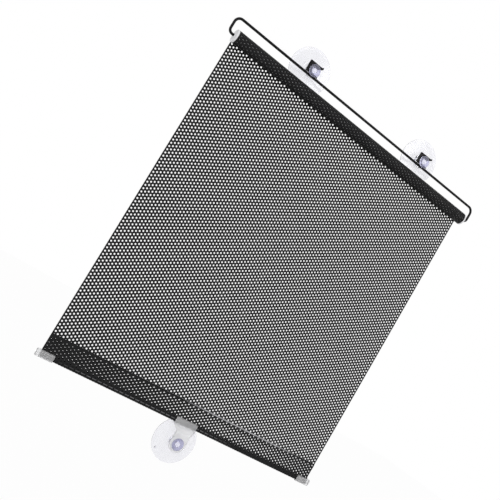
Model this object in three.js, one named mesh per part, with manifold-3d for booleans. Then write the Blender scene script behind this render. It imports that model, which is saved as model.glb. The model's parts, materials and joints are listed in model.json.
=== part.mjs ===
// Roller sunshade for a car side window, drawn out.
// A bent wire bracket with two suction cups carries a spring roller. The perforated film hangs from the
// back of the roller and ends in a hem with a flat bar, two end caps and a clip for the lower cup.
// Millimetres. X runs along the roller, Z is up and the glass is the plane y = 0, with the cabin on the
// side of negative y. The origin lies on the glass, midway along the bracket, at the height of the upper
// cups' axes.
import * as THREE from "three";
import { mergeVertices } from "three/addons/utils/BufferGeometryUtils.js";
import Module from "manifold-3d";

const wasm = await Module();
wasm.setup();

// Film
const filmWidth = 376;
const filmThickness = 0.3;
const filmDrop = 388; // from the roller's axis to the hem's lower edge
const hemHeight = 27;
const holeDiameter = 2;
const holePitch = 4; // along a column of the staggered pattern
const patternScale = 8.5; // the drawn-out film's openings against the real holes, in size and in pitch

// Roller
const tubeRadius = 5.9;
const tubeWall = 0.6;
const coilTurns = 4; // safety turns that stay on the tube when the film is drawn out
const turnAir = 0.1;
const tapeThickness = 0.1;
const tapeGap = 0.05; // under and over the tape
const tapeAngle = Math.PI / 3;
const rollToGlass = 2.2; // the wound-up roll, 1.9 mm thicker all round, still clears the glass

// Wire bracket
const wireRadius = 1.5;
const wireRise = 19; // from the roller's axis up to the straight run
const cornerRadius = 7; // all bends are measured on the wire's centre line
const tipBendRadius = 4.5;
const legClearance = 6.2; // between a leg and the plug's flange
const tipDepth = 12; // how far a tip reaches in past the flange's outer face
const bladeThickness = 2; // flattened end of the right tip, which can't turn
const bladeLength = 8;

// Tabs on the bracket
const tabWidth = 18;
const tabThickness = 1.2;
const tabTop = 8.4; // above the cup's axis
const tabPairSpacing = 187;
const tabPairShift = 2; // the pair is welded this far to the right of the middle
const tabShift = 1.2; // a tab's middle lies this far to the left of its cup's axis
const tabLipHeight = 2.2;
const tabLipReach = 2.4;
const tabCornerRadius = 1;
const tabArmTaper = 0.5;
const weldGap = 0.05; // between a tab's lower edge and the wire that it is welded on

// Suction cups
const cupRise = 25.8; // from the roller's axis up to the upper cups' axes
const cupRadius = 27;
const cupLand = 3.5; // width of the flat ring that seals on the glass
const cupRimThickness = 0.8;
const cupSkirt = 1.25; // height of the skirt's outer face halfway to the hub
const cupHollow = 1.6;
const hollowFall = 0.24; // the hollow is this much shallower at the hub's radius
const hubRadius = 8.2;
const hubWall = 0.6; // over the hollow, where the skirt starts
const hubFillet = 3;
const hubTaper = 0.8;
const shoulderRadius = 4.4; // narrow enough to pass beside the wire, wider than the slot
const neckRadius = 3.2;
const headRadius = 7.25;
const headThickness = 3.4;
const headSide = 1.1; // height of the head's straight side
const headRound = 1;
const headLandRadius = 4.2;
const headDimple = 0.9;
const dimpleRadius = 1.8;
const vinylChamfer = 0.5;
const cupSeat = 0.3; // clearance on both sides of the plate that holds the neck
const neckClearance = 0.25;

// End plugs, arbor and spring inside the tube
const endPlay = 0.3;
const flangeThickness = 2;
const flangeInset = 0.3; // below the roll's surface
const plugLength = 16;
const plugFit = 0.1;
const plugChamfer = 0.4;
const noseChamfer = 0.8;
const bossWall = 1.6; // round the left tip, where the plug stands out of its flange
const tipFit = 0.15;
const tipEndGap = 0.3;
const arborRadius = 3.2;
const arborProud = 0.8; // arbor beyond the flange
const runningFit = 0.1;
const collarRadius = 4.5;
const collarThickness = 1.5;
const rodRadius = 1.6;
const rodReach = 8; // into the anchor
const springWireRadius = 0.6;
const springLength = 70;
const springTurns = 15;
const springFit = 0.35;
const springSeatLength = 10;
const anchorLength = 10;
const spigotChamfer = 0.6;

// Hem bar, end caps and clip
const barHeight = 5.4;
const barThickness = 1.8;
const barCornerRadius = 0.6;
const barInset = 1; // bar shorter than the film at each end
const pocketClearance = 0.1;
const hemToCup = 0.25; // between the clip's back and the lower cup's skirt
const capLength = 20;
const capEnd = 4.2; // closed end beyond the film
const shellWall = 0.8;
const shellClearance = 0.2;
const clipWidth = 29;
const tongueThickness = 1.2;
const tongueHalfWidth = 10;
const lowerCupDrop = 20.2; // from the hem's lower edge down to the lower cup's axis

// Facets round a circle
const roundSides = 28;
const smallSides = 20;
const wireSides = 10;
const bendSteps = 6;
const openingSides = 8;
const arcSegments = 8; // half the facets that a full circle gets in a flat outline
const cornerSegments = 4;
const springWireSides = 6;
const springStepsPerTurn = 10;

// Made longer than it has to be, so that a cut ends outside the piece
const overcut = 1;
const samePoint = 1e-4;

// Places that follow from the sizes
const filmEnd = filmWidth / 2;
const turnPitch = filmThickness + turnAir;
const rollCore = tubeRadius + tapeThickness + 2 * tapeGap;
const rollRadius = rollCore + filmThickness + coilTurns * turnPitch;
const tubeBore = tubeRadius - tubeWall;
const rollerY = -(rollRadius + rollToGlass);
const rollerZ = -cupRise;
const rollBackY = rollerY + rollRadius;

const flangeInnerX = filmEnd + endPlay;
const flangeOuterX = flangeInnerX + flangeThickness;
const flangeRadius = rollRadius - flangeInset;
const legX = flangeOuterX + legClearance + wireRadius;
const wireZ = rollerZ + wireRise;

const tabFrontY = rollerY - wireRadius; // flush with the wire's front
const tabBackY = tabFrontY + tabThickness;
const hubTopY = rollerY + wireRadius + cupSeat;
const shoulderTopY = tabBackY + cupSeat;
const neckEndY = tabFrontY - cupSeat;
const headTopY = neckEndY - headThickness;

const hemBackY = -(cupSkirt + hemToCup + shellWall + shellClearance);
const panelFrontY = hemBackY - 2 * filmThickness;
const pocketWall = pocketClearance + filmThickness;
const barBackY = hemBackY - pocketWall;
const barFrontY = barBackY - barThickness;
const hemBottomZ = rollerZ - filmDrop;
const hemTopZ = hemBottomZ + hemHeight;
const barBottomZ = hemBottomZ + pocketWall;
const barTopZ = barBottomZ + barHeight;
const lowerCupZ = hemBottomZ - lowerCupDrop;
const shellInner = pocketWall + shellClearance;
const shellOuter = shellInner + shellWall;

// Turns shape x, y and the extrusion's direction into world y, z and x
const ALONG_X = new THREE.Matrix4().makeBasis(
  new THREE.Vector3(0, 1, 0),
  new THREE.Vector3(0, 0, 1),
  new THREE.Vector3(1, 0, 0),
);
// Turns shape x, y and the extrusion's direction into world x, z and minus y
const TOWARDS_CABIN = new THREE.Matrix4().makeBasis(
  new THREE.Vector3(1, 0, 0),
  new THREE.Vector3(0, 0, 1),
  new THREE.Vector3(0, -1, 0),
);

// A geometry with shared vertices, no collapsed triangles and all faces pointing out
function welded(geometry) {
  const bare = new THREE.BufferGeometry();
  bare.setAttribute("position", geometry.getAttribute("position"));
  bare.setIndex(geometry.index);
  const merged = mergeVertices(bare, samePoint);
  const corners = [...merged.index.array];
  const kept = [];
  let volume = 0;
  const [a, b, c] = [new THREE.Vector3(), new THREE.Vector3(), new THREE.Vector3()];
  const place = merged.getAttribute("position");
  for (let i = 0; i < corners.length; i += 3) {
    const [p, q, r] = corners.slice(i, i + 3);
    if (p === q || q === r || r === p) continue;
    kept.push(p, q, r);
    a.fromBufferAttribute(place, p);
    b.fromBufferAttribute(place, q);
    c.fromBufferAttribute(place, r);
    volume += a.dot(b.cross(c));
  }
  merged.setIndex(volume < 0 ? kept.reverse() : kept);
  return merged;
}

function toSolid(geometry) {
  const merged = welded(geometry);
  return new wasm.Manifold(
    new wasm.Mesh({
      numProp: 3,
      vertProperties: merged.getAttribute("position").array,
      triVerts: new Uint32Array(merged.index.array),
    }),
  );
}

function toGeometry(solid) {
  const mesh = solid.getMesh();
  const geometry = new THREE.BufferGeometry();
  geometry.setAttribute("position", new THREE.BufferAttribute(mesh.vertProperties, 3));
  geometry.setIndex(new THREE.BufferAttribute(mesh.triVerts, 1));
  return geometry;
}

const joined = (first, ...rest) =>
  toGeometry(rest.reduce((whole, piece) => whole.add(toSolid(piece)), toSolid(first)));
const cut = (body, ...tools) =>
  toGeometry(tools.reduce((left, tool) => left.subtract(toSolid(tool)), toSolid(body)));
const common = (one, other) => toGeometry(toSolid(one).intersect(toSolid(other)));

function extruded(shape, depth, basis, curveSegments = cornerSegments) {
  const geometry = new THREE.ExtrudeGeometry(shape, { depth, bevelEnabled: false, curveSegments });
  return geometry.applyMatrix4(basis);
}

// A section in y and z, extruded between two places on x
const alongX = (shape, fromX, toX, curveSegments) =>
  extruded(shape, toX - fromX, ALONG_X, curveSegments).translate(fromX, 0, 0);

// An outline in x and z, extruded from a place on y towards the cabin
const towardsCabin = (shape, fromY, depth, curveSegments) =>
  extruded(shape, depth, TOWARDS_CABIN, curveSegments).translate(0, fromY, 0);

// A section turned about the roller's axis, as [place on x, radius] points
function turned(profile, sides = smallSides) {
  const points = profile.map(([x, radius]) => new THREE.Vector2(radius, x));
  return new THREE.LatheGeometry(points, sides)
    .rotateZ(-Math.PI / 2)
    .translate(0, rollerY, rollerZ);
}

function circlePath(x, z, radius, Kind = THREE.Path) {
  const path = new Kind();
  path.absarc(x, z, radius, 0, 2 * Math.PI, false);
  return path;
}

// The bar's rounded section in y and z, grown by a margin on all sides
function barSection(margin, Kind = THREE.Shape) {
  const low = { y: barFrontY - margin, z: barBottomZ - margin };
  const high = { y: barBackY + margin, z: barTopZ + margin };
  const radius = barCornerRadius + margin;
  const path = new Kind();
  path.moveTo(low.y + radius, low.z);
  path.lineTo(high.y - radius, low.z);
  path.absarc(high.y - radius, low.z + radius, radius, -Math.PI / 2, 0, false);
  path.lineTo(high.y, high.z - radius);
  path.absarc(high.y - radius, high.z - radius, radius, 0, Math.PI / 2, false);
  path.lineTo(low.y + radius, high.z);
  path.absarc(low.y + radius, high.z - radius, radius, Math.PI / 2, Math.PI, false);
  path.lineTo(low.y, low.z + radius);
  path.absarc(low.y + radius, low.z + radius, radius, Math.PI, 1.5 * Math.PI, false);
  return path;
}

function rectangle(lowX, lowY, highX, highY) {
  const shape = new THREE.Shape();
  shape.moveTo(lowX, lowY);
  shape.lineTo(highX, lowY);
  shape.lineTo(highX, highY);
  shape.lineTo(lowX, highY);
  return shape;
}

// A wire's centre line, with its steps on the given stations instead of at equal lengths
class StationCurve extends THREE.Curve {
  constructor(stations) {
    super();
    this.stations = stations;
  }

  getPoint(t, target = new THREE.Vector3()) {
    const last = this.stations.length - 1;
    const first = Math.min(Math.floor(t * last), last - 1);
    return target.lerpVectors(this.stations[first], this.stations[first + 1], t * last - first);
  }

  getPointAt(u, target) {
    return this.getPoint(u, target);
  }

  getTangentAt(u, target) {
    return this.getTangent(u, target);
  }
}

// Stations along straight runs whose inner corners are bent to the given radii
function bentStations(corners, radii) {
  const stations = [corners[0]];
  for (let i = 1; i < corners.length - 1; i++) {
    const back = corners[i - 1].clone().sub(corners[i]).normalize();
    const ahead = corners[i + 1].clone().sub(corners[i]).normalize();
    const half = back.angleTo(ahead) / 2;
    const centre = back.clone().add(ahead).normalize();
    centre.multiplyScalar(radii[i - 1] / Math.sin(half)).add(corners[i]);
    const start = back.multiplyScalar(radii[i - 1] / Math.tan(half)).add(corners[i]).sub(centre);
    const end = ahead.multiplyScalar(radii[i - 1] / Math.tan(half)).add(corners[i]).sub(centre);
    const axis = start.clone().cross(end).normalize();
    for (let step = 0; step <= bendSteps; step++) {
      const angle = (start.angleTo(end) * step) / bendSteps;
      stations.push(start.clone().applyAxisAngle(axis, angle).add(centre));
    }
  }
  stations.push(corners.at(-1));
  return stations;
}

function roundWire(curve, radius, steps, sides) {
  const section = new THREE.Shape();
  for (let side = 0; side < sides; side++) {
    const angle = (2 * Math.PI * side) / sides;
    const corner = [radius * Math.cos(angle), radius * Math.sin(angle)];
    if (side) section.lineTo(...corner);
    else section.moveTo(...corner);
  }
  return new THREE.ExtrudeGeometry(section, { steps, extrudePath: curve });
}

// Bracket: a straight run over the roller, two legs, and tips bent in to the roller's axis.
// The right tip is flattened to a blade that keeps the spring's arbor from turning.
function wireBracket() {
  const tipX = flangeOuterX - tipDepth;
  const at = (x, z) => new THREE.Vector3(x, rollerY, z);
  const corners = [
    at(-tipX, rollerZ),
    at(-legX, rollerZ),
    at(-legX, wireZ),
    at(legX, wireZ),
    at(legX, rollerZ),
    at(tipX, rollerZ),
  ];
  const radii = [tipBendRadius, cornerRadius, cornerRadius, tipBendRadius];
  const stations = bentStations(corners, radii);
  const wire = roundWire(new StationCurve(stations), wireRadius, stations.length - 1, wireSides);
  const cheek = (side) =>
    alongX(
      rectangle(
        rollerY - 2 * wireRadius,
        rollerZ + (side * (bladeThickness + 2 * wireRadius)) / 2 - wireRadius,
        rollerY + 2 * wireRadius,
        rollerZ + (side * (bladeThickness + 2 * wireRadius)) / 2 + wireRadius,
      ),
      tipX - wireRadius,
      tipX + bladeLength,
    );
  return cut(wire, cheek(-1), cheek(1));
}

// Stamped fork whose slot opens to the right, flared at its mouth, with the upper arm's end bent to the
// cabin side so that the cup can't slide out
function cupTab(centreX) {
  const left = -tabWidth / 2 - tabShift;
  const right = tabWidth / 2 - tabShift;
  const bottom = wireZ + wireRadius + weldGap;
  const slot = neckRadius + neckClearance;
  const mouth = tabTop - tabLipHeight;
  const shape = new THREE.Shape();
  shape.moveTo(left + tabCornerRadius, bottom);
  shape.lineTo(right, bottom);
  shape.lineTo(right - tabCornerRadius, -slot - tabArmTaper);
  shape.lineTo(slot, -slot);
  shape.lineTo(0, -slot);
  shape.absarc(0, 0, slot, 1.5 * Math.PI, Math.PI / 2, true);
  shape.lineTo(slot, slot);
  shape.lineTo(right, mouth);
  shape.lineTo(right, tabTop);
  shape.lineTo(left + tabCornerRadius, tabTop);
  shape.absarc(left + tabCornerRadius, tabTop - tabCornerRadius, tabCornerRadius, Math.PI / 2, Math.PI);
  shape.lineTo(left, bottom + tabCornerRadius);
  shape.absarc(left + tabCornerRadius, bottom + tabCornerRadius, tabCornerRadius, Math.PI, 1.5 * Math.PI);
  const plate = towardsCabin(shape, tabBackY, tabThickness, arcSegments);
  const lip = rectangle(right - tabThickness, mouth, right, tabTop);
  const bentEnd = towardsCabin(lip, tabBackY, tabThickness + tabLipReach);
  return joined(plate, bentEnd).translate(centreX, 0, 0);
}

// Clear suction cup: a shallow skirt with a flat sealing land, a hub, a neck and a dimpled round head
function suctionCup(x, z) {
  const landInner = cupRadius - cupLand;
  const skirtRadius = (cupRadius + hubRadius) / 2;
  const filletY = -cupHollow - hubWall - hubFillet;
  const halfway = hubFillet * Math.SQRT1_2;
  const hubTopRadius = hubRadius - hubTaper;
  const profile = [
    [0, -cupHollow],
    [hubRadius, hollowFall - cupHollow],
    [landInner, 0],
    [cupRadius, 0],
    [cupRadius, -cupRimThickness / 2],
    [cupRadius - cupRimThickness / 2, -cupRimThickness],
    [skirtRadius, -cupSkirt],
    [hubRadius + hubFillet, filletY + hubFillet],
    [hubRadius + hubFillet - halfway, filletY + halfway],
    [hubRadius, filletY],
    [hubTopRadius, hubTopY + vinylChamfer],
    [hubTopRadius - vinylChamfer, hubTopY],
    [shoulderRadius, hubTopY],
    [shoulderRadius, shoulderTopY],
    [neckRadius, shoulderTopY],
    [neckRadius, neckEndY],
    [headRadius - vinylChamfer, neckEndY],
    [headRadius, neckEndY - vinylChamfer],
    [headRadius, neckEndY - headSide],
    [headRadius - headRound, headTopY + headRound],
    [headLandRadius, headTopY],
    [dimpleRadius, headTopY + headDimple],
    [0, headTopY + headDimple],
  ];
  const points = profile.map(([radius, y]) => new THREE.Vector2(radius, y));
  return new THREE.LatheGeometry(points, roundSides).translate(x, 0, z);
}

function rollerTube() {
  return turned(
    [
      [-filmEnd, tubeBore],
      [-filmEnd, tubeRadius],
      [filmEnd, tubeRadius],
      [filmEnd, tubeBore],
      [-filmEnd, tubeBore],
    ],
    roundSides,
  );
}

// The turns that stay on the tube, as one spiral strip whose tail points to the glass
function filmRoll() {
  const steps = coilTurns * roundSides;
  const edge = (inset) =>
    Array.from({ length: steps + 1 }, (_, step) => {
      const angle = (2 * Math.PI * coilTurns * step) / steps;
      const radius = rollRadius - inset - (turnPitch * angle) / (2 * Math.PI);
      return new THREE.Vector2(rollerY + radius * Math.cos(angle), rollerZ + radius * Math.sin(angle));
    });
  return alongX(new THREE.Shape([...edge(0), ...edge(filmThickness).reverse()]), -filmEnd, filmEnd);
}

// Double-sided tape that fixes the film's inner end to the tube
function filmTape() {
  const inner = tubeRadius + tapeGap;
  const shape = new THREE.Shape();
  shape.absarc(rollerY, rollerZ, inner + tapeThickness, -tapeAngle, 0, false);
  shape.absarc(rollerY, rollerZ, inner, 0, -tapeAngle, true);
  return alongX(shape, -filmEnd + endPlay, filmEnd - endPlay, arcSegments);
}

// The drawn-out film, hanging from the roll's back to the hem. Its openings keep the stagger and the open
// share of the real holes, but stand for many holes each: a circle would lie inside their flat sides.
function filmSheet() {
  const edgeGap = turnAir;
  const bottom = hemTopZ + edgeGap;
  const height = rollerZ - edgeGap - bottom;
  const opening = patternScale * holeDiameter;
  const cornerReach = opening / 2 / Math.cos(Math.PI / openingSides);
  const rowSpacing = patternScale * holePitch;
  const columnSpacing = (rowSpacing * Math.sqrt(3)) / 2;
  const columns = Math.floor(filmWidth / columnSpacing);
  const rows = Math.floor((height - opening) / rowSpacing);
  const lowest = (height - (rows - 0.5) * rowSpacing) / 2;
  const shape = rectangle(-filmEnd, 0, filmEnd, height);
  for (let column = 0; column < columns; column++) {
    const x = (column - (columns - 1) / 2) * columnSpacing;
    for (let row = 0; row < rows; row++) {
      const z = lowest + (row + (column % 2) / 2) * rowSpacing;
      shape.holes.push(circlePath(x, z, cornerReach));
    }
  }
  const lean = Math.atan2(hemBackY - rollBackY, height);
  const flat = towardsCabin(shape, 0, filmThickness, openingSides / 2);
  return flat.rotateX(lean).translate(0, hemBackY, bottom);
}

// The film's lower end, folded up on the cabin side round the bar and welded to itself
function filmHem() {
  const shape = new THREE.Shape();
  const [front, back] = [barFrontY - pocketWall, hemBackY];
  const [low, high] = [hemBottomZ, barTopZ + pocketWall];
  const radius = barCornerRadius + pocketWall;
  shape.moveTo(back, hemTopZ);
  shape.lineTo(panelFrontY, hemTopZ);
  shape.lineTo(panelFrontY, high);
  shape.lineTo(front + radius, high);
  shape.absarc(front + radius, high - radius, radius, Math.PI / 2, Math.PI, false);
  shape.lineTo(front, low + radius);
  shape.absarc(front + radius, low + radius, radius, Math.PI, 1.5 * Math.PI, false);
  shape.lineTo(back - radius, low);
  shape.absarc(back - radius, low + radius, radius, -Math.PI / 2, 0, false);
  shape.holes.push(barSection(pocketClearance, THREE.Path));
  return alongX(shape, -filmEnd, filmEnd);
}

const hemBar = () => alongX(barSection(0), barInset - filmEnd, filmEnd - barInset);

// Room for the hem and, above it, for the film inside a shell that grips the bar
function hemRoom(fromX, toX) {
  const slot = rectangle(
    panelFrontY - shellClearance,
    barTopZ,
    hemBackY + shellClearance,
    barTopZ + 2 * shellOuter,
  );
  return joined(alongX(barSection(shellInner), fromX, toX), alongX(slot, fromX, toX));
}

// Frosted cap pushed over the hem's end: a sleeve with a slot for the film and a closed outer end
function hemCap(side) {
  const outer = filmEnd + capEnd;
  const inner = outer - capLength;
  const span = (from, to) => (side > 0 ? [from, to] : [-to, -from]);
  const body = alongX(barSection(shellOuter), ...span(inner, outer));
  return cut(body, hemRoom(...span(inner - overcut, filmEnd + endPlay)));
}

// Frosted clip: a sleeve on the hem whose front wall runs on as a tongue, down and out to the cup's neck
function hemClip() {
  const half = clipWidth / 2;
  const sleeve = alongX(barSection(shellOuter), -half, half);
  const frontY = barFrontY - shellOuter;
  const sleeveLow = barBottomZ - shellOuter;
  const tongueEnd = lowerCupZ - tongueHalfWidth;
  const bendZ = sleeveLow - (frontY - tabFrontY);
  const profile = new THREE.Shape();
  profile.moveTo(frontY, barTopZ - barCornerRadius);
  profile.lineTo(frontY, sleeveLow + tongueThickness);
  profile.lineTo(tabFrontY, bendZ);
  profile.lineTo(tabFrontY, tongueEnd);
  profile.lineTo(tabBackY, tongueEnd);
  profile.lineTo(tabBackY, bendZ);
  profile.lineTo(frontY + shellWall, sleeveLow);
  profile.lineTo(frontY + shellWall, barTopZ - barCornerRadius);
  const tongue = alongX(profile, -half, half);
  const outline = new THREE.Shape();
  outline.moveTo(-half, barTopZ + 2 * shellOuter);
  outline.lineTo(-half, sleeveLow);
  outline.lineTo(-tongueHalfWidth, bendZ);
  outline.absarc(0, lowerCupZ, tongueHalfWidth, Math.PI, 2 * Math.PI, false);
  outline.lineTo(tongueHalfWidth, bendZ);
  outline.lineTo(half, sleeveLow);
  outline.lineTo(half, barTopZ + 2 * shellOuter);
  const depth = 4 * (hemBackY + shellWall - headTopY);
  const trimmed = common(joined(sleeve, tongue), towardsCabin(outline, depth / 2, depth, arcSegments));
  const neckHole = towardsCabin(
    circlePath(0, lowerCupZ, neckRadius + neckClearance, THREE.Shape),
    depth / 2,
    depth,
    arcSegments,
  );
  return cut(trimmed, hemRoom(-half - overcut, half + overcut), neckHole);
}

// Plug that turns on the bracket's round left tip
function idlePlug() {
  const nose = flangeInnerX - plugLength;
  const bodyRadius = tubeBore - plugFit;
  const bore = wireRadius + tipFit;
  return turned([
    [-nose, 0],
    [-nose, bodyRadius - noseChamfer],
    [-nose - noseChamfer, bodyRadius],
    [-flangeInnerX, bodyRadius],
    [-flangeInnerX, flangeRadius],
    [-flangeOuterX + plugChamfer, flangeRadius],
    [-flangeOuterX, flangeRadius - plugChamfer],
    [-flangeOuterX, bore + bossWall],
    [-flangeOuterX - arborProud, bore + bossWall - plugChamfer],
    [-flangeOuterX - arborProud, bore],
    [-flangeOuterX + tipDepth + tipEndGap, bore],
    [-flangeOuterX + tipDepth + tipEndGap, 0],
  ]);
}

// Plug that turns on the arbor's shoulder and drives the tube
function springPlug() {
  const nose = flangeInnerX - plugLength;
  const bodyRadius = tubeBore - plugFit;
  const bore = arborRadius + runningFit;
  return turned([
    [nose, bore],
    [nose, bodyRadius - noseChamfer],
    [nose + noseChamfer, bodyRadius],
    [flangeInnerX, bodyRadius],
    [flangeInnerX, flangeRadius],
    [flangeOuterX - plugChamfer, flangeRadius],
    [flangeOuterX, flangeRadius - plugChamfer],
    [flangeOuterX, bore],
    [nose, bore],
  ]);
}

const collarRightX = flangeInnerX - plugLength - endPlay;
const springRightX = collarRightX - collarThickness - springFit;
const springLeftX = springRightX - springLength;
const anchorRightX = springLeftX - springWireRadius;

// Fixed arbor on the wire's blade: shoulder, collar, spring seat and a rod that steadies the anchor
function springArbor() {
  const rightX = flangeOuterX + arborProud;
  const collarLeftX = collarRightX - collarThickness;
  const seatEndX = collarLeftX - springSeatLength;
  const rodEndX = anchorRightX - rodReach;
  const body = turned([
    [rodEndX, 0],
    [rodEndX, rodRadius],
    [seatEndX, rodRadius],
    [seatEndX, arborRadius],
    [collarLeftX, arborRadius],
    [collarLeftX, collarRadius],
    [collarRightX, collarRadius],
    [collarRightX, arborRadius],
    [rightX, arborRadius],
    [rightX, 0],
  ]);
  const socketEndX = flangeOuterX - tipDepth - tipFit;
  const bladeEndX = flangeOuterX - tipDepth + bladeLength - tipFit;
  const halfSlot = wireRadius + tipFit;
  const halfBlade = bladeThickness / 2 + tipFit;
  const slot = rectangle(
    rollerY - halfSlot,
    rollerZ - halfBlade,
    rollerY + halfSlot,
    rollerZ + halfBlade,
  );
  const mouth = circlePath(rollerY, rollerZ, halfSlot, THREE.Shape);
  const outside = rightX + overcut;
  return cut(body, alongX(slot, socketEndX, outside), alongX(mouth, bladeEndX, outside));
}

// Counterbalance spring, seated on the arbor at its right end and on the anchor at its left
function torsionSpring() {
  const coilRadius = arborRadius + springFit + springWireRadius;
  class Coil extends THREE.Curve {
    getPoint(t, target = new THREE.Vector3()) {
      const angle = 2 * Math.PI * springTurns * t;
      const x = springLeftX + springWireRadius + t * (springLength - 2 * springWireRadius);
      return target.set(
        x,
        rollerY + coilRadius * Math.cos(angle),
        rollerZ + coilRadius * Math.sin(angle),
      );
    }
  }
  return roundWire(
    new Coil(),
    springWireRadius,
    springTurns * springStepsPerTurn,
    springWireSides,
  );
}

// Plug fixed in the tube that takes the spring's inner end on a spigot
function springAnchor() {
  const bodyRadius = tubeBore - plugFit;
  const bore = rodRadius + tipFit;
  const leftX = anchorRightX - anchorLength;
  const spigotX = anchorRightX + springSeatLength;
  return turned([
    [leftX, bore],
    [leftX, bodyRadius],
    [anchorRightX, bodyRadius],
    [anchorRightX, arborRadius],
    [spigotX - spigotChamfer, arborRadius],
    [spigotX, arborRadius - spigotChamfer],
    [spigotX, bore],
    [leftX, bore],
  ]);
}

const finish = (color, roughness, metalness, more = {}) =>
  new THREE.MeshStandardMaterial({ color, roughness, metalness, ...more });
const paintedWire = () => finish(0x0d0d0f, 0.32, 0.4);
const blackFilm = () => finish(0x151517, 0.42, 0);
const clearVinyl = () => finish(0xe9ebf3, 0.12, 0, { transparent: true, opacity: 0.45 });
const frostedPlastic = () => finish(0xc9cbd0, 0.45, 0, { transparent: true, opacity: 0.8 });
const whitePlastic = () => finish(0xdcdcde, 0.4, 0);
const bareSteel = () => finish(0xa7a9ac, 0.35, 0.9);
const paleTape = () => finish(0xe6e2d6, 0.7, 0);

const sunshade = new THREE.Group();
sunshade.name = "car_side_window_sunshade";

function add(name, geometry, material) {
  const piece = new THREE.Mesh(welded(geometry), material);
  piece.geometry.computeVertexNormals();
  piece.name = name;
  sunshade.add(piece);
}

const leftTabX = tabPairShift - tabPairSpacing / 2;
const rightTabX = tabPairShift + tabPairSpacing / 2;

add("wire_bracket", wireBracket(), paintedWire());
add("cup_tab_left", cupTab(leftTabX), paintedWire());
add("cup_tab_right", cupTab(rightTabX), paintedWire());
add("suction_cup_left", suctionCup(leftTabX, 0), clearVinyl());
add("suction_cup_right", suctionCup(rightTabX, 0), clearVinyl());
add("suction_cup_lower", suctionCup(0, lowerCupZ), clearVinyl());
add("roller_tube", rollerTube(), bareSteel());
add("film_tape", filmTape(), paleTape());
add("film_roll", filmRoll(), blackFilm());
add("film_sheet", filmSheet(), blackFilm());
add("film_hem", filmHem(), blackFilm());
add("end_plug_left", idlePlug(), whitePlastic());
add("end_plug_right", springPlug(), whitePlastic());
add("spring_arbor", springArbor(), bareSteel());
add("torsion_spring", torsionSpring(), bareSteel());
add("spring_anchor", springAnchor(), whitePlastic());
add("hem_bar", hemBar(), paintedWire());
add("hem_cap_left", hemCap(-1), frostedPlastic());
add("hem_cap_right", hemCap(1), frostedPlastic());
add("hem_clip", hemClip(), frostedPlastic());

export default sunshade;
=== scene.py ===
import json
import math

import bmesh
import bpy
import numpy as np
from bpy.props import FloatProperty, FloatVectorProperty, IntProperty, PointerProperty
from mathutils import Matrix, Vector


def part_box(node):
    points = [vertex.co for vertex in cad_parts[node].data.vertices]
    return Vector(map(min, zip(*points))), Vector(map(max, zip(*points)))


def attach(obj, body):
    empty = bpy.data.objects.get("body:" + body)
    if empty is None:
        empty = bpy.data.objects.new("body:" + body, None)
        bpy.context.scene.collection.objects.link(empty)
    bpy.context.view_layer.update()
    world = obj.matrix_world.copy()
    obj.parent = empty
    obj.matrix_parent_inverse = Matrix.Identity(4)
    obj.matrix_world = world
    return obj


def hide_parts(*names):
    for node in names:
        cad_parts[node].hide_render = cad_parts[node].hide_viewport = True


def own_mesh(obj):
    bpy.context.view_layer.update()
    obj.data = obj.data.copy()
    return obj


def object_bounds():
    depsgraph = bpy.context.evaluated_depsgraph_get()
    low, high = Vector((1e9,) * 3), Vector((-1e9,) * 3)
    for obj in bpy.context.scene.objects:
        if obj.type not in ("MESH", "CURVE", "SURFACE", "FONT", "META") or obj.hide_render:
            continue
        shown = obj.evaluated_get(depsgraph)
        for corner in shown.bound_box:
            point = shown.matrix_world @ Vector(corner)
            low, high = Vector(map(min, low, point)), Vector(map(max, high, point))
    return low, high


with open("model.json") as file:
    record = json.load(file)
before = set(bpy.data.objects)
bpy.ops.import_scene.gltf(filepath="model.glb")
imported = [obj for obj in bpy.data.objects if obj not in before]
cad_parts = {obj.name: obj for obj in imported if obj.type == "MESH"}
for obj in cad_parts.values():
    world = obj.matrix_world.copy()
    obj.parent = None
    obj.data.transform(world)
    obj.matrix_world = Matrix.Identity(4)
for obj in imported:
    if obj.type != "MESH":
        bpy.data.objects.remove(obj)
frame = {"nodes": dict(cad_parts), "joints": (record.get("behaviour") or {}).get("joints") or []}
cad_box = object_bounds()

bl_info = {
    "name": "Car side window sunshade",
    "version": (1, 0, 0),
    "blender": (4, 5, 0),
    "location": "3D View > Sidebar > Sunshade",
    "description": "Perforated roller sunshade with a wire bracket, suction cups and a hem bar",
    "category": "Object",
}

MM = 0.001
joints = {joint["name"]: joint for joint in frame["joints"]}
AXIS = Vector(joints["roller_turn"]["pos_m"])  # the roller's axis, midway along it
LEFT_CUP = Vector(joints["cup_turn_left"]["pos_m"])
RIGHT_CUP = Vector(joints["cup_turn_right"]["pos_m"])
LOWER_CUP = Vector(joints["cup_turn_lower"]["pos_m"])
roll_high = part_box("film_roll")[1]
hem_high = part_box("film_hem")[1]
bar_low, bar_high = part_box("hem_bar")
wire_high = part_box("wire_bracket")[1]
cup_low, cup_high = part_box("suction_cup_left")
FILM_END = roll_high.x
ROLL_RADIUS = roll_high.y - AXIS.y

# Sizes that the solids have too
AIR = 0.1 * MM  # between the film's turns, and between film and bar
WIRE_RADIUS = 1.5 * MM
WIRE_REACH = 9.7 * MM  # how far the wire's tips go in past the film's ends
BLADE_LENGTH, BLADE_HALF = 8 * MM, 1 * MM  # flattened end of the right tip
PLATE, SEAT = 1.2 * MM, 0.3 * MM  # plate that holds a cup's neck, and the play on both its sides

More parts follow.
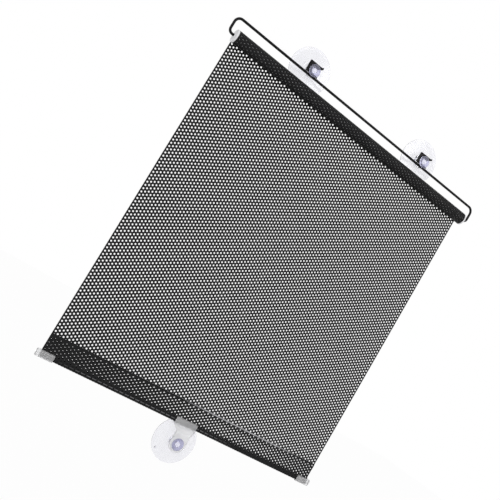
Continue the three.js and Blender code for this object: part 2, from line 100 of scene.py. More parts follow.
# The film's edges and flap
PLAIN_SIDE = 0.5 * MM  # strip without holes along the film's side edges
FLAP_LEAN = 3.4 * MM  # height over which the flap leans from the bar's front back to the film
BULGE_PLACE, BULGE_WIDTH, BULGE = 0.08, 0.06, 0.9 * MM  # where the flap's edge stands off, along X
PAINTED_HIGHLIGHT, HIGHLIGHT_BLUR = (0.6, 0.6, 0.62, 1), 0.5 * MM  # colour of the painted highlight lines on the film, and how softly they end

# The stage, in metres from the part's origin
CAMERA_PLACE, CAMERA_LENS = (-0.4109, -0.7468, -0.2685), 53.14
CAMERA_RIGHT, CAMERA_FORWARD = (0.75235, -0.41602, 0.51078), (0.44278, 0.89344, 0.07551)
KEY_PLACE, KEY_SIZE = (-0.9, -1.5, 0.9), 1.4
FILL_PLACE, FILL_SIZE = (0.8, -1.4, 0.4), 0.7
FLOOR_DROP, FLOOR_HALF = 0.25, 4.0  # the floor's depth under the part, and half its width


# Settings

class FilmSettings(bpy.types.PropertyGroup):
    hole: FloatProperty(name="Hole", description="Diameter of a punched hole", default=2 * MM, min=0.5 * MM,
                        max=3 * MM, unit="LENGTH")
    pitch: FloatProperty(name="Hole pitch", description="Distance between neighbouring holes", default=4 * MM,
                         min=3.2 * MM, max=8 * MM, unit="LENGTH")
    thickness: FloatProperty(name="Film thickness", description="Thickness of the film", default=0.3 * MM,
                             min=0.1 * MM, max=0.6 * MM, unit="LENGTH")
    turns: IntProperty(name="Open turns", description="Outer turns on the roll that are modelled with their holes",
                       default=2, min=1, max=3)
    colour: FloatVectorProperty(name="Film colour", description="Colour of the film", subtype="COLOR",
                                default=(0.009, 0.009, 0.0095), min=0, max=1)
    # Painted highlight: the inner turns are black film, but this colour is near white, so the dots seen through the
    # outer turns' holes shine as glints.
    inner: FloatVectorProperty(name="Inner turns", description="Colour seen through the roll's outer turns",
                               subtype="COLOR", default=(0.95, 0.95, 0.98), min=0, max=1)
    slip: FloatProperty(name="Hem slip", description="How far the flap's holes drift along the hem, as a slope",
                        default=0.0065, min=0, max=0.02, precision=4)
    margin: FloatProperty(name="Plain margin", description="Strip without holes along the flap's upper edge",
                          default=2.2 * MM, min=0, max=6 * MM, unit="LENGTH")


class BracketSettings(bpy.types.PropertyGroup):
    wire: FloatProperty(name="Wire radius", description="Radius of the bracket's wire", default=WIRE_RADIUS,
                        min=1 * MM, max=2 * MM, unit="LENGTH")
    corner: FloatProperty(name="Corner radius", description="Bend radius of the bracket's two corners",
                          default=7 * MM, min=3 * MM, max=12 * MM, unit="LENGTH")
    tip_bend: FloatProperty(name="Tip bend radius", description="Bend radius where the tips turn in",
                            default=4.5 * MM, min=2 * MM, max=5 * MM, unit="LENGTH")
    paint: FloatVectorProperty(name="Paint", description="Colour of the gloss paint", subtype="COLOR",
                               default=(0.004, 0.004, 0.0045), min=0, max=1)


class CupSettings(bpy.types.PropertyGroup):
    skirt_tint: FloatVectorProperty(name="Skirt tint", description="Colour of the thin clear skirt",
                                    subtype="COLOR", default=(0.95, 0.95, 0.975), min=0, max=1)
    head_tint: FloatVectorProperty(name="Head tint", description="Colour of the thick clear head",
                                   subtype="COLOR", default=(0.68, 0.68, 0.87), min=0, max=1)
    clearness: FloatProperty(name="Clearness", description="Share of light that passes the vinyl", default=0.88,
                             min=0, max=1, subtype="FACTOR")


class FittingSettings(bpy.types.PropertyGroup):
    edge: FloatProperty(name="Edge rounding", description="Radius on the edges of caps, clip and tabs",
                        default=0.22 * MM, min=0, max=0.4 * MM, unit="LENGTH")
    frosted: FloatVectorProperty(name="Frosted plastic", description="Colour of the caps and the clip",
                                 subtype="COLOR", default=(0.94, 0.94, 0.96), min=0, max=1)
    plug: FloatVectorProperty(name="Plug plastic", description="Colour of the roller's end plugs",
                              subtype="COLOR", default=(0.84, 0.84, 0.86), min=0, max=1)


class StageSettings(bpy.types.PropertyGroup):
    background: FloatProperty(name="Background", description="Brightness of the backdrop, 1 being white",
                              default=1.0, min=0, max=1, subtype="FACTOR")
    ambient: FloatProperty(name="Ambient", description="Strength of the soft light from all sides", default=0.62,
                           min=0, max=2)
    key_power: FloatProperty(name="Key lamp", description="Power of the large soft lamp", default=9.0, min=0,
                             max=100, unit="POWER")
    fill_power: FloatProperty(name="Fill lamp", description="Power of the second lamp", default=3.0, min=0,
                              max=100, unit="POWER")


# Materials

class Value:
    """A socket in a finish's node tree, with the arithmetic that shaders use."""

    def __init__(self, finish, socket):
        self.finish = finish
        self.socket = socket

    def maths(self, operation, first, second):
        return self.finish.node("ShaderNodeMath", {"operation": operation}, {0: first, 1: second})

    def __add__(self, other):
        return self.maths("ADD", self, other)

    def __mul__(self, other):
        return self.maths("MULTIPLY", self, other)


class Nodes:
    """A node tree, with one way to add any node to it."""

    def __init__(self, tree):
        self.tree = tree

    def feed(self, socket, value):
        if isinstance(value, Value):
            self.tree.links.new(value.socket, socket)
        else:
            socket.default_value = value

    def node(self, kind, settings=None, sockets=None, output=0):
        made = self.tree.nodes.new(kind)
        for name, value in (settings or {}).items():
            setattr(made, name, value)
        for name, value in (sockets or {}).items():
            self.feed(made.inputs[name], value)
        return Value(self, made.outputs[output])

    def seen(self):
        """1 for what the camera sees, straight, mirrored or through clear plastic, and else 0."""
        rays = [self.node("ShaderNodeLightPath", output=name)
                for name in ("Is Camera Ray", "Is Transmission Ray", "Is Glossy Ray")]
        return rays[0].maths("MAXIMUM", rays[0].maths("MAXIMUM", rays[0], rays[1]), rays[2])


class Finish(Nodes):
    """A material being made, with its main shader."""

    def __init__(self, name, **constants):
        self.material = bpy.data.materials.new(name)
        self.material.use_nodes = True
        super().__init__(self.material.node_tree)
        self.shader = self.tree.nodes["Principled BSDF"]
        for socket, value in constants.items():
            self.shader.inputs[socket.replace("_", " ")].default_value = value

    def place(self):
        """The point on the piece, in metres."""
        return self.node("ShaderNodeTexCoord", output="Object")

    def along(self, axis):
        """That point's X, Y or Z."""
        return self.node("ShaderNodeSeparateXYZ", sockets={0: self.place()}, output=axis)

    def noise(self, scale, detail=2.0, stretch=(1, 1, 1)):
        spread = self.node("ShaderNodeVectorMath", {"operation": "MULTIPLY"},
                           {0: self.place(), 1: tuple(scale * s for s in stretch)})
        return self.node("ShaderNodeTexNoise", sockets={"Vector": spread, "Scale": 1.0, "Detail": detail})

    def between(self, value, low, high, blur):
        """1 where a value lies between two limits, falling to 0 over the blur beyond them."""
        rise = self.node("ShaderNodeMapRange", {"clamp": True}, {0: value, 1: low - blur, 2: low})
        fall = self.node("ShaderNodeMapRange", {"clamp": True}, {0: value, 1: high + blur, 2: high})
        return rise * fall

    def mix(self, share, one, other):
        return self.node("ShaderNodeMix", {"data_type": "RGBA"}, {0: share, 6: one, 7: other}, output=2)

    def surface(self, colour=None, roughness=None, height=None, depth=0.0001, strength=1.0):
        for name, value in (("Base Color", colour), ("Roughness", roughness)):
            if value is not None:
                self.feed(self.shader.inputs[name], value)
        if height is not None:
            bump = self.node("ShaderNodeBump", sockets={"Height": height, "Distance": depth, "Strength": strength})
            self.feed(self.shader.inputs["Normal"], bump)
        return self.material


def shade(colour, factor):
    """A colour with full alpha, lighter or darker by a factor."""
    return (*(min(1.0, c * factor) for c in colour), 1)


def film_finish(colour, name="black_punched_film", painted_highlights=()):
    """Satin black film, with painted highlight lines along it: (height, half width, start and end along X, strength).
    """
    finish = Finish(name, Specular_IOR_Level=0.13)
    handling = finish.noise(35, 3)
    grain = finish.noise(2600, 2)
    tone = finish.mix(handling, shade(colour, 0.75), shade(colour, 1.5))
    # Each entry paints a highlight: a pale line, broken up by noise.
    for height, half, start, end, strength in painted_highlights:
        edge = finish.between(finish.along("Z"), height - half, height + half, HIGHLIGHT_BLUR)
        stretch = finish.between(finish.along("X"), start, end, 0.04)
        highlight_breakup = finish.noise(250, 3) * strength
        tone = finish.mix(edge * stretch * highlight_breakup, tone, PAINTED_HIGHLIGHT)
    return finish.surface(tone, handling * 0.16 + 0.38, grain, 0.00004, 0.35)


def gloss_paint_finish(colour):
    finish = Finish("gloss_black_paint", Specular_IOR_Level=0.12)
    flow = finish.noise(700, 2)
    dust = finish.noise(160, 4)
    return finish.surface(
        finish.mix(dust, shade(colour, 0.8), shade(colour, 1.7)), dust * 0.14 + 0.2, flow, 0.00003, 0.3,
    )


def clear_vinyl_finish(skirt, head, clearness, head_start):
    finish = Finish("clear_vinyl", IOR=1.45, Transmission_Weight=clearness)
    thick = finish.node("ShaderNodeMapRange", {"clamp": True}, {
        0: finish.along("Y"), 1: head_start, 2: head_start - 2 * MM})
    cloud = finish.noise(90, 3)
    body = finish.mix(thick, (*skirt, 1), (*head, 1))
    return finish.surface(
        finish.mix(cloud * 0.1, body, shade(head, 1.1)), cloud * 0.12 + 0.06, finish.noise(400, 2), 0.00004, 0.15,
    )


def frosted_finish(colour, clear_below):
    """Frosted plastic, clearer below a height."""
    finish = Finish("frosted_plastic", IOR=1.46, Transmission_Weight=0.72)
    mottle = finish.noise(420, 4)
    clear = finish.node("ShaderNodeMapRange", {"clamp": True}, {
        0: finish.along("Z"), 1: clear_below, 2: clear_below - 2 * MM})
    tone = finish.mix(mottle, shade(colour, 0.86), shade(colour, 1.12))
    return finish.surface(
        finish.mix(clear, tone, (1, 1, 1, 1)), mottle * 0.15 + 0.3, finish.noise(1500, 3), 0.00005, 0.35,
    )


def plug_finish(colour):
    finish = Finish("white_moulded_plastic")
    mottle = finish.noise(300, 3)
    return finish.surface(
        finish.mix(mottle, shade(colour, 0.93), shade(colour, 1.05)), mottle * 0.15 + 0.35,
        finish.noise(1100, 2), 0.00004, 0.3,
    )


def steel_finish(name, tone, stretch):
    finish = Finish(name, Metallic=1.0)
    streaks = finish.noise(1200, 2, stretch)
    stain = finish.noise(60, 3)
    return finish.surface(
        finish.mix(stain, (tone, tone, tone * 1.01, 1), (tone * 0.8, tone * 0.79, tone * 0.77, 1)),
        streaks * 0.25 + 0.22, streaks, 0.00003, 0.3,
    )


def tape_finish():
    finish = Finish("pale_tape")
    fibres = finish.noise(900, 3, (0.2, 1, 1))
    return finish.surface(
        finish.mix(fibres, (0.72, 0.68, 0.56, 1), (0.8, 0.77, 0.68, 1)), fibres * 0.2 + 0.6, fibres, 0.00005, 0.4,
    )


# Meshes

def add_piece(name, mesh, finish, body, nodes, smooth=35):
    """Links a finished mesh as a piece that rides on a body and stands for CAD nodes."""
    piece = bpy.data.objects.new(name, mesh)
    bpy.context.scene.collection.objects.link(piece)
    mesh.materials.clear()
    mesh.materials.append(finish)
    mesh.shade_smooth()
    mesh.set_sharp_from_angle(angle=math.radians(smooth))
    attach(piece, body)
    if nodes:
        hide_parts(*nodes)
    return piece


def mesh_from(name, points, faces):
    mesh = bpy.data.meshes.new(name)
    mesh.from_pydata([tuple(point) for point in points], [], faces)
    mesh.validate()
    return mesh


def punched(name, low, high, film, slip=0.0, still=0.0, margin=0.0):
    """Film laid flat from low to high, as (across, along) in metres, with a hole in each cell of the
    staggered pattern. The pattern starts at zero, so that neighbouring lengths match. Cells at the side
    edges, and within a margin of the low end, have no hole. With a slip, the rows drift along the film
    with the distance from a still point."""
    hole, pitch = film.hole, film.pitch
    step_x, step_t = pitch / (2 * math.sqrt(3)), pitch / 2
    corner_steps = [(2, 0), (1, 1), (-1, 1), (-2, 0), (-1, -1), (1, -1)]
    circle = [(hole / 2 * math.cos(math.radians(15 + 30 * k)), hole / 2 * math.sin(math.radians(15 + 30 * k)))
              for k in range(12)]
    points, faces, shared = [], [], {}
    for column in range(math.floor(low[0] / step_x / 3) - 1, math.ceil(high[0] / step_x / 3) + 2):
        for row in range(math.floor(low[1] / pitch) - 2, math.ceil(high[1] / pitch) + 3):
            centre = (3 * column + 1.5, 2 * row + column % 2)
            corners = []
            for step in corner_steps:
                key = (centre[0] + step[0], centre[1] + step[1])
                if key not in shared:
                    shared[key] = len(points)
                    points.append((key[0] * step_x, key[1] * step_t))
                corners.append(shared[key])
            first = len(points)
            x, t = centre[0] * step_x, centre[1] * step_t
            points += [(x + dx, t + dt) for dx, dt in circle]
            for k in range(6):
                ahead = corners[(k + 1) % 6]
                faces.append((corners[k], first + 2 * k, first + (2 * k - 1) % 12))
                faces.append((corners[k], ahead, first + (2 * k + 1) % 12, first + 2 * k))
            if abs(x) > high[0] - PLAIN_SIDE - hole / 2 or t < low[1] + margin:
                faces.append(tuple(range(first, first + 12)))
    mesh = mesh_from(name, [(x, t + slip * (still - x), 0) for x, t in points], faces)
    shaped = bmesh.new()
    shaped.from_mesh(mesh)
    for place, direction in (((low[0], 0, 0), (-1, 0, 0)), ((high[0], 0, 0), (1, 0, 0)),
                             ((0, low[1], 0), (0, -1, 0)), ((0, high[1], 0), (0, 1, 0))):
        parts = shaped.verts[:] + shaped.edges[:] + shaped.faces[:]
        bmesh.ops.bisect_plane(shaped, geom=parts, dist=1e-7, plane_co=place, plane_no=direction,
                               clear_outer=True)
    shaped.to_mesh(mesh)
    shaped.free()
    return mesh


def laid_along(mesh, place):
    """Moves each point of a flat film, (across, along), to place(across, along) in the frame."""
    flat = np.empty(len(mesh.vertices) * 3, np.float32)
    mesh.vertices.foreach_get("co", flat)
    flat = flat.reshape(-1, 3).astype(float)
    moved = np.column_stack(place(flat[:, 0], flat[:, 1]))
    mesh.vertices.foreach_set("co", moved.astype(np.float32).ravel())
    mesh.update()
    return mesh


def merged(name, *meshes):
    whole = bmesh.new()
    for mesh in meshes:
        whole.from_mesh(mesh)
    mesh = bpy.data.meshes.new(name)
    whole.to_mesh(mesh)
    whole.free()
    return mesh


def revolved(name, profile, origin, along, sides=96):
    """A profile of (distance along, radius) points turned about an axis. Points on the axis close it."""
    along = Vector(along).normalized()
    out = along.orthogonal().normalized()
    side = along.cross(out)
    points, rings = [], []
    for distance, radius in profile:
        centre = Vector(origin) + along * distance
        if radius < 1e-7:
            rings.append([len(points)])
            points.append(centre)
            continue
        rings.append(list(range(len(points), len(points) + sides)))
        for k in range(sides):
            angle = 2 * math.pi * k / sides
            points.append(centre + radius * (math.cos(angle) * out + math.sin(angle) * side))
    faces = []
    for one, two in zip(rings, rings[1:]):
        for k in range(sides):
            after = (k + 1) % sides
            if len(one) == 1 and len(two) > 1:
                faces.append((one[0], two[after], two[k]))
            elif len(two) == 1 and len(one) > 1:
                faces.append((one[k], one[after], two[0]))
            elif len(one) > 1:
                faces.append((one[k], one[after], two[after], two[k]))
    mesh = mesh_from(name, points, faces)
    return outward(mesh)


def outward(mesh):
    shaped = bmesh.new()
    shaped.from_mesh(mesh)
    bmesh.ops.remove_doubles(shaped, verts=shaped.verts[:], dist=1e-7)
    bmesh.ops.recalc_face_normals(shaped, faces=shaped.faces[:])
    shaped.to_mesh(mesh)
    shaped.free()
    return mesh


def rounded(profile, radii, steps=5):
    """A polyline with its inner corners rounded to the given radii."""
    result = [Vector(profile[0])]
    for i in range(1, len(profile) - 1):
        here, back, ahead = Vector(profile[i]), Vector(profile[i - 1]), Vector(profile[i + 1])
        to_back, to_ahead = back - here, ahead - here
        half = to_back.angle(to_ahead) / 2
        radius = radii[i - 1] if hasattr(radii, "__len__") else radii
        cut = min(radius / max(math.tan(half), 1e-6), 0.45 * to_back.length, 0.45 * to_ahead.length)
        start, end = here + to_back.normalized() * cut, here + to_ahead.normalized() * cut
        if cut < 1e-7 or half > 1.55:
            result.append(here)
            continue
        for step in range(steps + 1):
            share = step / steps
            result.append(start * (1 - share) ** 2 + here * 2 * share * (1 - share) + end * share ** 2)
    result.append(Vector(profile[-1]))
    return result


def softened(name, node, edge):
    """The CAD solid's own shape, with its flat faces made whole and its sharp edges rounded."""
    shaped = bmesh.new()
    shaped.from_mesh(frame["nodes"][node].data)
    bmesh.ops.remove_doubles(shaped, verts=shaped.verts[:], dist=1e-6)
    bmesh.ops.dissolve_limit(shaped, angle_limit=math.radians(1), verts=shaped.verts[:], edges=shaped.edges[:])
    sharp = [e for e in shaped.edges if len(e.link_faces) == 2 and e.calc_face_angle(0) > math.radians(32)]
    bmesh.ops.bevel(shaped, geom=sharp, offset=edge, offset_type="OFFSET", segments=3, profile=0.5,
                    affect="EDGES", clamp_overlap=True)
    bmesh.ops.triangulate(shaped, faces=[f for f in shaped.faces if len(f.verts) > 4])
    mesh = bpy.data.meshes.new(name)
    shaped.to_mesh(mesh)
    shaped.free()
    return mesh


# Pieces

class SUNSHADE_OT_film_sheet(bpy.types.Operator):
    """Punched film that hangs from the back of the roll down to the hem"""
    bl_idname = "sunshade.film_sheet"
    bl_label = "Film sheet"

    def execute(self, context):
        film = context.scene.sunshade_film
        top, bottom = -AXIS.z, -hem_high.z
        if bottom <= top:
            raise RuntimeError("the hem must hang below the roller")
        mesh = punched("drawn_film", (-FILM_END, top), (FILM_END, bottom), film)
        back, hem_back = roll_high.y - film.thickness / 2, hem_high.y - film.thickness / 2

        def hang(across, along):
            share = (along - top) / (bottom - top)
            ease = np.clip(1 - (2 * share - 1) ** 2, 0, 1)
            ripple = 0.12 * MM * ease * np.sin(across * 33 + 1.1) * np.sin(share * 5 + across * 7)
            return across, back + share * (hem_back - back) + ripple, -along

        laid_along(mesh, hang)
        piece = add_piece("drawn_film", mesh, film_finish(film.colour), "bracket", ["film_sheet"])
        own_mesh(piece)
        return {"FINISHED"}


class SUNSHADE_OT_film_roll(bpy.types.Operator):
    """Turns of film on the roller: the outer ones with their holes, the inner ones as one core painted near white, a
    painted highlight for the glints seen through the holes
    """
    bl_idname = "sunshade.film_roll"
    bl_label = "Film on the roller"

    def execute(self, context):
        film = context.scene.sunshade_film
        top = -AXIS.z
        start = ROLL_RADIUS - film.thickness / 2
        shrink = (film.thickness + AIR) / (2 * math.pi)
        last = 2 * math.pi * film.turns
        length = start * last - shrink * last ** 2 / 2
        mesh = punched("rolled_film", (-FILM_END, top - length), (FILM_END, top), film)

        def wind(across, along):
            wound = top - along
            angle = (start - np.sqrt(np.maximum(start ** 2 - 2 * shrink * wound, 0))) / shrink
            radius = start - shrink * angle
            return across, AXIS.y + radius * np.cos(angle), AXIS.z + radius * np.sin(angle)

        laid_along(mesh, wind)
        piece = add_piece("rolled_film", mesh, film_finish(film.colour), "roller", ["film_roll"], 60)
        outer, inner = start - shrink * last - 0.2 * MM, 6.1 * MM
        profile = [(-FILM_END, inner), (-FILM_END, outer), (FILM_END, outer), (FILM_END, inner), (-FILM_END, inner)]
        core = revolved("roll_core", profile, AXIS, (1, 0, 0), 64)
        # The core's near-white colour is a painted highlight for the glints seen through the holes.
        inner_turns_glint = film_finish(film.inner, "inner_turns_glint")
        add_piece("roll_core", core, inner_turns_glint, "roller", ["film_roll"])
        return {"FINISHED"}


class SUNSHADE_OT_film_hem(bpy.types.Operator):
    """Lower end of the film, folded round the bar, with a flap whose holes drift against the back layer"""
    bl_idname = "sunshade.film_hem"
    bl_label = "Film hem"

    def execute(self, context):
        film = context.scene.sunshade_film
        half = film.thickness / 2
        gap = half + AIR
        back, front = hem_high.y - half, bar_low.y - gap
        low, bar_top = bar_low.z - gap, bar_high.z + gap
        flap_y = back - film.thickness - AIR
        line = [(back, hem_high.z), (back, low), (front, low), (front, bar_top)]
        path = rounded(line, [0.9 * MM, 0.9 * MM], 5)
        lengths = np.concatenate([[0], np.cumsum([(b - a).length for a, b in zip(path, path[1:])])])
        ys, zs = np.array([p.x for p in path]), np.array([p.y for p in path])
        start = -hem_high.z
        pocket = punched("pocket", (-FILM_END, start), (FILM_END, start + lengths[-1]), film)
        laid_along(pocket, lambda across, along: (
            across, np.interp(along - start, lengths, ys), np.interp(along - start, lengths, zs)))
        top = hem_high.z - 0.4 * MM
        rise = top - bar_top
        flap = punched("flap", (-FILM_END, -top), (FILM_END, -bar_top), film, film.slip, 0.06, film.margin)

        def lift(across, along):
            height = -along - bar_top
            lean = np.clip(height / FLAP_LEAN, 0, 1)
            lean = lean * lean * (3 - 2 * lean)
            bow = 0.15 * MM + BULGE * np.exp(-((across - BULGE_PLACE) / BULGE_WIDTH) ** 2)
            bow = bow * np.exp(-((height - rise + 3.6 * MM) / (2.2 * MM)) ** 2)
            return across, front + (flap_y - front) * lean - bow, -along

        laid_along(flap, lift)
        mesh = merged("folded_hem", pocket, flap)
        # Painted highlights on the hem film: a line along the flap's upper edge, and a fainter one across the pocket
        # in front of the bar.
        finish = film_finish(film.colour, "hem_film", [
            (top - 0.5 * MM, 0.4 * MM, 0.02, 0.12, 1.3), (bar_low.z + 2.8 * MM, 0.15 * MM, -0.13, 0.03, 0.45)])
        piece = add_piece("folded_hem", mesh, finish, "hem", ["film_hem"], 60)
        return {"FINISHED"}


class SUNSHADE_OT_bracket(bpy.types.Operator):
    """Wire bracket bent over the roller, with a stamped fork tab for each upper cup"""
    bl_idname = "sunshade.bracket"
    bl_label = "Wire bracket"

    def execute(self, context):
        settings = context.scene.sunshade_bracket
        radius = settings.wire
        leg, top = wire_high.x - radius, wire_high.z - radius
        tip = FILM_END - WIRE_REACH
        blade_start = tip + BLADE_LENGTH
        corners = [(-tip, AXIS.z), (-leg, AXIS.z), (-leg, top), (leg, top), (leg, AXIS.z), (blade_start, AXIS.z),
                   (tip, AXIS.z)]
        line = self.bent(corners, [settings.tip_bend, settings.corner, settings.corner, settings.tip_bend, 0])
        sides = 24
        points, faces = [], []
        for i, here in enumerate(line):
            back, ahead = line[max(i - 1, 0)], line[min(i + 1, len(line) - 1)]
            direction = (ahead - back).normalized()
            across = Vector((-direction.y, direction.x))
            flat = i >= len(line) - 2
            for k in range(sides):
                angle = 2 * math.pi * k / sides
                shift = radius * math.cos(angle)
                if flat:
                    shift = max(-BLADE_HALF, min(BLADE_HALF, shift))
                place = here + across * shift
                points.append((place.x, AXIS.y + radius * math.sin(angle), place.y))
        for i in range(len(line) - 1):
            for k in range(sides):
                after = (k + 1) % sides
                faces.append((i * sides + k, i * sides + after, (i + 1) * sides + after, (i + 1) * sides + k))
        faces.append(tuple(range(sides)))
        faces.append(tuple((len(line) - 1) * sides + k for k in reversed(range(sides))))
        paint = gloss_paint_finish(settings.paint)
        wire = outward(mesh_from("bent_wire", points, faces))
        add_piece("bent_wire", wire, paint, "bracket", ["wire_bracket"])
        edge = context.scene.sunshade_fittings.edge
        for side in ("left", "right"):
            tab = softened("fork_tab_" + side, "cup_tab_" + side, edge)
            add_piece("fork_tab_" + side, tab, paint, "bracket", ["cup_tab_" + side])
        return {"FINISHED"}

    @staticmethod
    def bent(corners, radii, steps=14):
        """A centre line with true arcs at its corners."""
        line = [Vector(corners[0])]
        for i in range(1, len(corners) - 1):
            here = Vector(corners[i])
            back, ahead = (Vector(corners[i - 1]) - here).normalized(), (Vector(corners[i + 1]) - here).normalized()
            if radii[i - 1] < 1e-6:
                line.append(here)
                continue
            half = back.angle(ahead) / 2
            centre = here + (back + ahead).normalized() * (radii[i - 1] / math.sin(half))
            start = here + back * (radii[i - 1] / math.tan(half)) - centre
            end = here + ahead * (radii[i - 1] / math.tan(half)) - centre
            for step in range(steps + 1):
                share = step / steps
                turn = start.angle(end)
                mixed = (start * math.sin((1 - share) * turn) + end * math.sin(share * turn)) / math.sin(turn)
                line.append(centre + mixed)
        line.append(Vector(corners[-1]))
        return line


class SUNSHADE_OT_cups(bpy.types.Operator):
    """Three clear suction cups, each with a thin skirt, a hub, a neck and a round head"""
    bl_idname = "sunshade.cups"
    bl_label = "Suction cups"

    def execute(self, context):
        settings = context.scene.sunshade_cups
        radius = (cup_high.z - cup_low.z) / 2
        head_end = cup_low.y
        neck_end = AXIS.y - WIRE_RADIUS - SEAT
        shoulder_end = neck_end + SEAT + PLATE + SEAT
        hub_top = AXIS.y + WIRE_RADIUS + SEAT
        outline = [  # (radius, depth) in millimetres, from the hollow's middle round the rim to the head
            (0, -1.6), (8.2, -1.36), (23.5, 0), (27, 0), (27, -0.4), (26.6, -0.8), (17.6, -1.25), (11.2, -2.2),
            (9.1, -3.1), (8.2, -5.2), (7.4, hub_top / MM + 0.5), (6.9, hub_top / MM), (4.4, hub_top / MM),
            (4.4, shoulder_end / MM), (3.2, shoulder_end / MM), (3.2, neck_end / MM), (6.75, neck_end / MM),
            (7.25, neck_end / MM - 0.5), (7.25, neck_end / MM - 1.1), (6.25, head_end / MM + 1),
            (4.2, head_end / MM), (1.8, head_end / MM + 0.8), (0, head_end / MM + 0.9),
        ]
        scale = radius / (27 * MM)
        profile = [(point.y * MM, point.x * MM * (scale if point.x > 20 else 1)) for point in rounded(
            outline, [1, 1, 0, 0.1, 0.3, 8, 4, 2, 1.5, 0.3, 0.3, 0.2, 0.1, 0.1, 0.1, 0.4, 0.4, 0.8, 1.0, 1.2, 1.0], 6)]
        finish = clear_vinyl_finish(settings.skirt_tint, settings.head_tint, settings.clearness, hub_top)
        for side, body, centre in (("left", "cup_left", LEFT_CUP), ("right", "cup_right", RIGHT_CUP),
                                   ("lower", "cup_lower", LOWER_CUP)):
            mesh = revolved("vinyl_cup_" + side, profile, centre, (0, 1, 0))
            if side == "lower":
                pips = [revolved("pip", [(-0.4 * MM, 0), (-0.4 * MM, 1.4 * MM), (-1.35 * MM, 1.3 * MM),
                                         (-1.35 * MM, 0.8 * MM), (-1.1 * MM, 0)],
                                 centre + Vector((x, 0, z)) * MM, (0, 1, 0), 24)
                        for x, z in ((16.9, 15.5), (-16.9, -15.5))]
                mesh = merged(mesh.name, mesh, *pips)
            add_piece("vinyl_cup_" + side, mesh, finish, body, ["suction_cup_" + side], 50)
        return {"FINISHED"}


class SUNSHADE_OT_fittings(bpy.types.Operator):
    """Frosted end caps on the hem and the clip that carries the lower cup"""
    bl_idname = "sunshade.fittings"
    bl_label = "Hem caps and clip"

    def execute(self, context):
        settings = context.scene.sunshade_fittings
        finish = frosted_finish(settings.frosted, bar_low.z - 2 * MM)
        for name, node in (("end_cap_left", "hem_cap_left"), ("end_cap_right", "hem_cap_right"),
                           ("cup_clip", "hem_clip")):
            mesh = softened(name, node, settings.edge)
            add_piece(name, mesh, finish, "hem", [node])
        return {"FINISHED"}


class SUNSHADE_OT_plugs(bpy.types.Operator):
    """End plugs of the roller, with a flange beside the roll"""
    bl_idname = "sunshade.plugs"
    bl_label = "End plugs"

    def execute(self, context):
        settings = context.scene.sunshade_fittings
        finish = plug_finish(settings.plug)
        for side, sign in (("left", -1), ("right", 1)):
            low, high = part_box("end_plug_" + side)
            nose = min(abs(low.x), abs(high.x)) / MM
            outer = max(abs(low.x), abs(high.x)) / MM
            flange = (high.z - low.z) / 2 / MM
            face = FILM_END / MM + 2.3
            inner = FILM_END / MM + 0.3
            if side == "left":
                shape = [(nose, 0), (nose, 4.4), (nose + 0.8, 5.2), (inner, 5.2), (inner, flange),
                         (face, flange), (face, 3.25), (outer, 2.85), (outer, 1.65), (face - 12.3, 1.65),
                         (face - 12.3, 0)]
                radii = [0.1, 0.1, 0.1, 0.2, 0.5, 0.3, 0.3, 0.2, 0.1, 0.1]
            else:
                shape = [(nose, 3.3), (nose, 4.4), (nose + 0.8, 5.2), (inner, 5.2), (inner, flange),
                         (face, flange), (face, 3.3), (nose, 3.3)]
                radii = [0.1, 0.1, 0.1, 0.2, 0.5, 0.2]
            profile = [(point.x * MM * sign, point.y * MM) for point in rounded(shape, radii, 4)]
            mesh = revolved("roller_plug_" + side, profile, AXIS, (1, 0, 0), 72)
            add_piece("roller_plug_" + side, mesh, finish, "roller", ["end_plug_" + side])
        return {"FINISHED"}


class SUNSHADE_OT_inner_parts(bpy.types.Operator):
    """Finishes of the tube, tape, arbor, spring, anchor and bar, which keep their CAD shapes"""
    bl_idname = "sunshade.inner_parts"
    bl_label = "Inner parts"

    def execute(self, context):
        rolled = steel_finish("rolled_steel", 0.55, (0.05, 1, 1))
        drawn = steel_finish("drawn_steel", 0.5, (1, 1, 1))
        white = plug_finish(context.scene.sunshade_fittings.plug)
        painted = gloss_paint_finish(context.scene.sunshade_bracket.paint)
        for node, finish in (("roller_tube", rolled), ("film_tape", tape_finish()), ("spring_arbor", drawn),
                             ("torsion_spring", drawn), ("spring_anchor", white), ("hem_bar", painted)):
            mesh = frame["nodes"][node].data
            mesh.materials.clear()
            mesh.materials.append(finish)
        return {"FINISHED"}


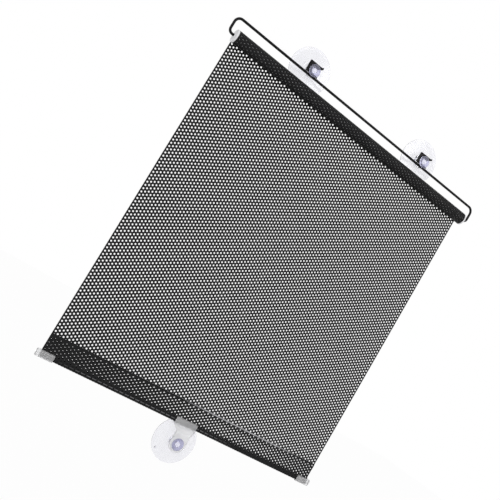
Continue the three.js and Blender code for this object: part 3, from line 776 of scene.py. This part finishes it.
class SUNSHADE_OT_stage(bpy.types.Operator):
    """Pale floor, soft lamps, white surroundings and the camera"""
    bl_idname = "sunshade.stage"
    bl_label = "Stage"

    def execute(self, context):
        settings = context.scene.sunshade_stage
        scene = context.scene
        scene.view_settings.view_transform = "Standard"
        self.surroundings(scene, settings)
        self.floor(scene, settings)
        middle = Vector((0, 0, (cad_box[0].z + cad_box[1].z) / 2))
        self.lamp(scene, "key_lamp", KEY_PLACE, middle, KEY_SIZE, settings.key_power)
        self.lamp(scene, "fill_lamp", FILL_PLACE, middle, FILL_SIZE, settings.fill_power)
        camera_data = bpy.data.cameras.new("camera")
        camera_data.sensor_width = 36
        camera_data.lens = CAMERA_LENS
        camera_data.clip_start, camera_data.clip_end = 0.02, 50
        camera = bpy.data.objects.new("camera", camera_data)
        scene.collection.objects.link(camera)
        right = Vector(CAMERA_RIGHT).normalized()
        forward = Vector(CAMERA_FORWARD).normalized()
        up = right.cross(forward).normalized()
        right = forward.cross(up)
        turn = Matrix((right, up, -forward)).transposed()
        camera.matrix_world = Matrix.Translation(CAMERA_PLACE) @ turn.to_4x4()
        scene.camera = camera
        return {"FINISHED"}

    def surroundings(self, scene, settings):
        world = bpy.data.worlds.new("studio")
        world.use_nodes = True
        scene.world = world
        nodes = Nodes(world.node_tree)
        strength = nodes.node("ShaderNodeMapRange", sockets={
            0: nodes.seen(), 3: settings.ambient, 4: settings.background})
        background = world.node_tree.nodes["Background"]
        nodes.feed(background.inputs["Color"], (1, 1, 1, 1))
        nodes.feed(background.inputs["Strength"], strength)

    def floor(self, scene, settings):
        height = cad_box[0].z - FLOOR_DROP
        corners = [(x * FLOOR_HALF, y * FLOOR_HALF, height) for x, y in ((-1, -1), (1, -1), (1, 1), (-1, 1))]
        mesh = mesh_from("floor", corners, [(0, 1, 2, 3)])
        floor = bpy.data.objects.new("floor", mesh)
        scene.collection.objects.link(floor)
        finish = Finish("pale_floor", Roughness=0.8, Specular_IOR_Level=0.1)
        speckle = finish.noise(8, 3)
        finish.surface(finish.mix(speckle, (0.9, 0.9, 0.9, 1), (0.94, 0.94, 0.94, 1)))
        white = finish.node("ShaderNodeEmission", sockets={"Color": (1, 1, 1, 1), "Strength": settings.background})
        output = finish.tree.nodes["Material Output"]
        mixed = finish.node("ShaderNodeMixShader", sockets={
            0: finish.seen() * 0.96, 1: Value(finish, finish.shader.outputs[0]), 2: white})
        finish.feed(output.inputs["Surface"], mixed)
        mesh.materials.append(finish.material)

    def lamp(self, scene, name, place, target, size, power):
        data = bpy.data.lights.new(name, "AREA")
        data.shape = "DISK"
        data.size = size
        data.energy = power
        lamp = bpy.data.objects.new(name, data)
        lamp.location = place
        lamp.rotation_euler = (target - Vector(place)).to_track_quat("-Z", "Y").to_euler()
        scene.collection.objects.link(lamp)


class SUNSHADE_PT_sidebar(bpy.types.Panel):
    """Settings and pieces of the sunshade"""
    bl_idname = "SUNSHADE_PT_sidebar"
    bl_label = "Sunshade"
    bl_space_type = "VIEW_3D"
    bl_region_type = "UI"
    bl_category = "Sunshade"

    def draw(self, context):
        for group in GROUPS:
            box = self.layout.box()
            settings = getattr(context.scene, group)
            for name in settings.__annotations__:
                box.prop(settings, name)
        for step in STEPS:
            self.layout.operator(step.bl_idname)


GROUPS = {
    "sunshade_film": FilmSettings,
    "sunshade_bracket": BracketSettings,
    "sunshade_cups": CupSettings,
    "sunshade_fittings": FittingSettings,
    "sunshade_stage": StageSettings,
}
STEPS = [SUNSHADE_OT_stage, SUNSHADE_OT_film_roll, SUNSHADE_OT_film_hem, SUNSHADE_OT_film_sheet,
         SUNSHADE_OT_bracket, SUNSHADE_OT_cups, SUNSHADE_OT_fittings, SUNSHADE_OT_plugs, SUNSHADE_OT_inner_parts]
CLASSES = [*GROUPS.values(), *STEPS, SUNSHADE_PT_sidebar]


def register():
    for made in CLASSES:
        bpy.utils.register_class(made)
    for name, group in GROUPS.items():
        setattr(bpy.types.Scene, name, PointerProperty(type=group))


def unregister():
    for name in GROUPS:
        delattr(bpy.types.Scene, name)
    for made in reversed(CLASSES):
        bpy.utils.unregister_class(made)


def main():
    register()
    for step in STEPS:
        area, name = step.bl_idname.split(".")
        getattr(getattr(bpy.ops, area), name)()
    bpy.context.view_layer.update()


if __name__ == "__main__":
    main()
